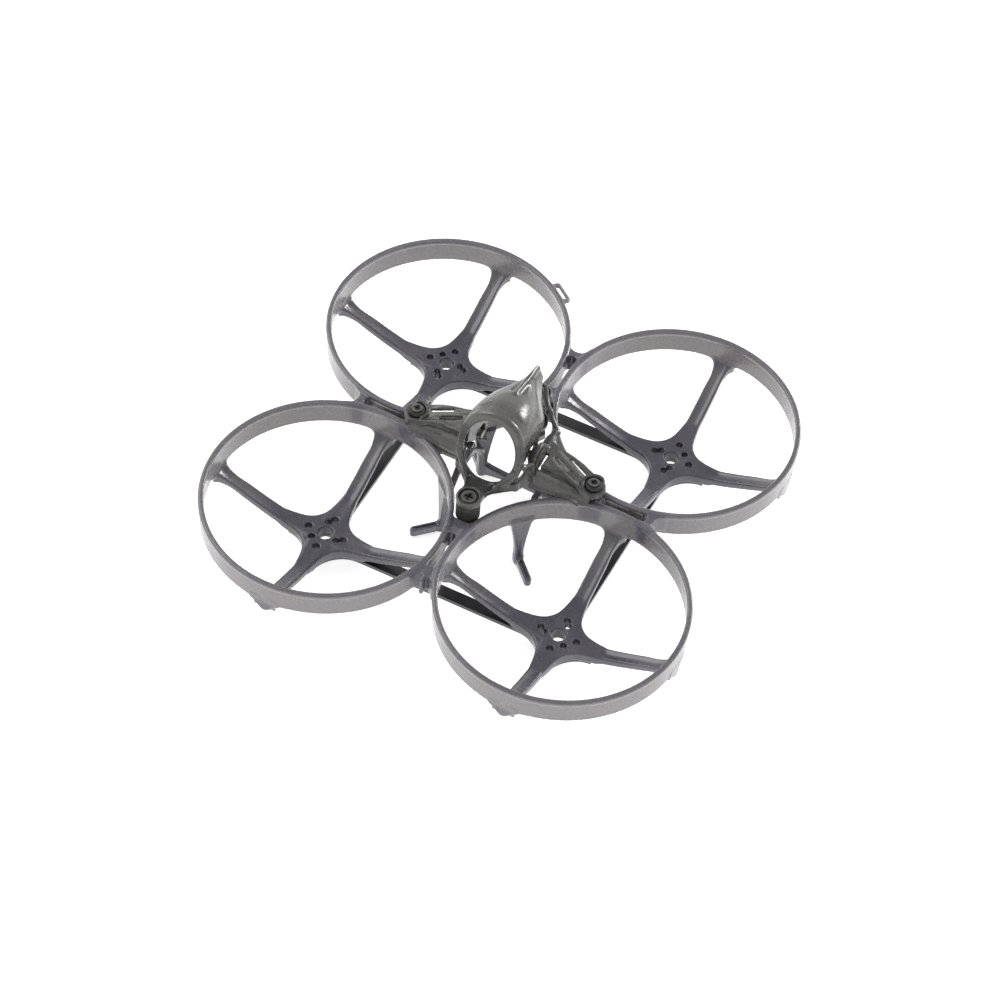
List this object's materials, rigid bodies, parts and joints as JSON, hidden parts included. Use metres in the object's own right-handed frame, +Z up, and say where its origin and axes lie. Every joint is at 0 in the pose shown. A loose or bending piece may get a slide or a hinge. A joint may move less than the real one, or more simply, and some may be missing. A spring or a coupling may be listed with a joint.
{
  "type": "fpv racing drone airframe",
  "caption": "Ducted micro quadcopter racing airframe with a moulded frame, carbon brace, soft-mounted canopy and tilting camera pivots.",
  "frame": {"origin": "centre of the four motor axes, on the plane of the motor seats", "axes": "+Z up along the motor axes, -Y the nose, +X the craft's right-hand side"},
  "size_m": [0.1186, 0.1186, 0.0412],
  "materials": {
    "frame_nylon": "smoke grey translucent nylon, satin",
    "canopy_plastic": "smoke grey translucent moulding, soft gloss",
    "carbon_plate": "carbon fibre plate, satin resin over a fine weave",
    "mount_rubber": "matt moulded rubber",
    "bush_rubber": "olive grey moulded rubber",
    "screw_steel": "blackened steel",
    "pivot_steel": "dark plated steel"
  },
  "bodies": {
    "airframe": {"duct_frame": "frame_nylon", "carbon_brace": "carbon_plate", "canopy_shell": "canopy_plastic", "canopy_grommet_front": "mount_rubber", "canopy_grommet_rear": "mount_rubber", "canopy_grommet_left": "mount_rubber", "canopy_grommet_right": "mount_rubber", "fc_damper_front": "mount_rubber", "fc_damper_rear": "mount_rubber", "fc_damper_left": "mount_rubber", "fc_damper_right": "mount_rubber", "post_screws": "screw_steel", "post_nuts": "screw_steel", "tip_screws": "screw_steel", "camera_bush_left": "bush_rubber", "camera_bush_right": "bush_rubber"},
    "camera_pivots": {"camera_pivot_left": "pivot_steel", "camera_pivot_right": "pivot_steel"}
  },
  "joints": [
    {"name": "camera_tilt", "type": "hinge", "parent": "airframe", "child": "camera_pivots", "pos_m": [0, -0.0006, 0.0192], "axis": [-1, 0, 0], "range_deg": [-10, 35]}
  ]
}
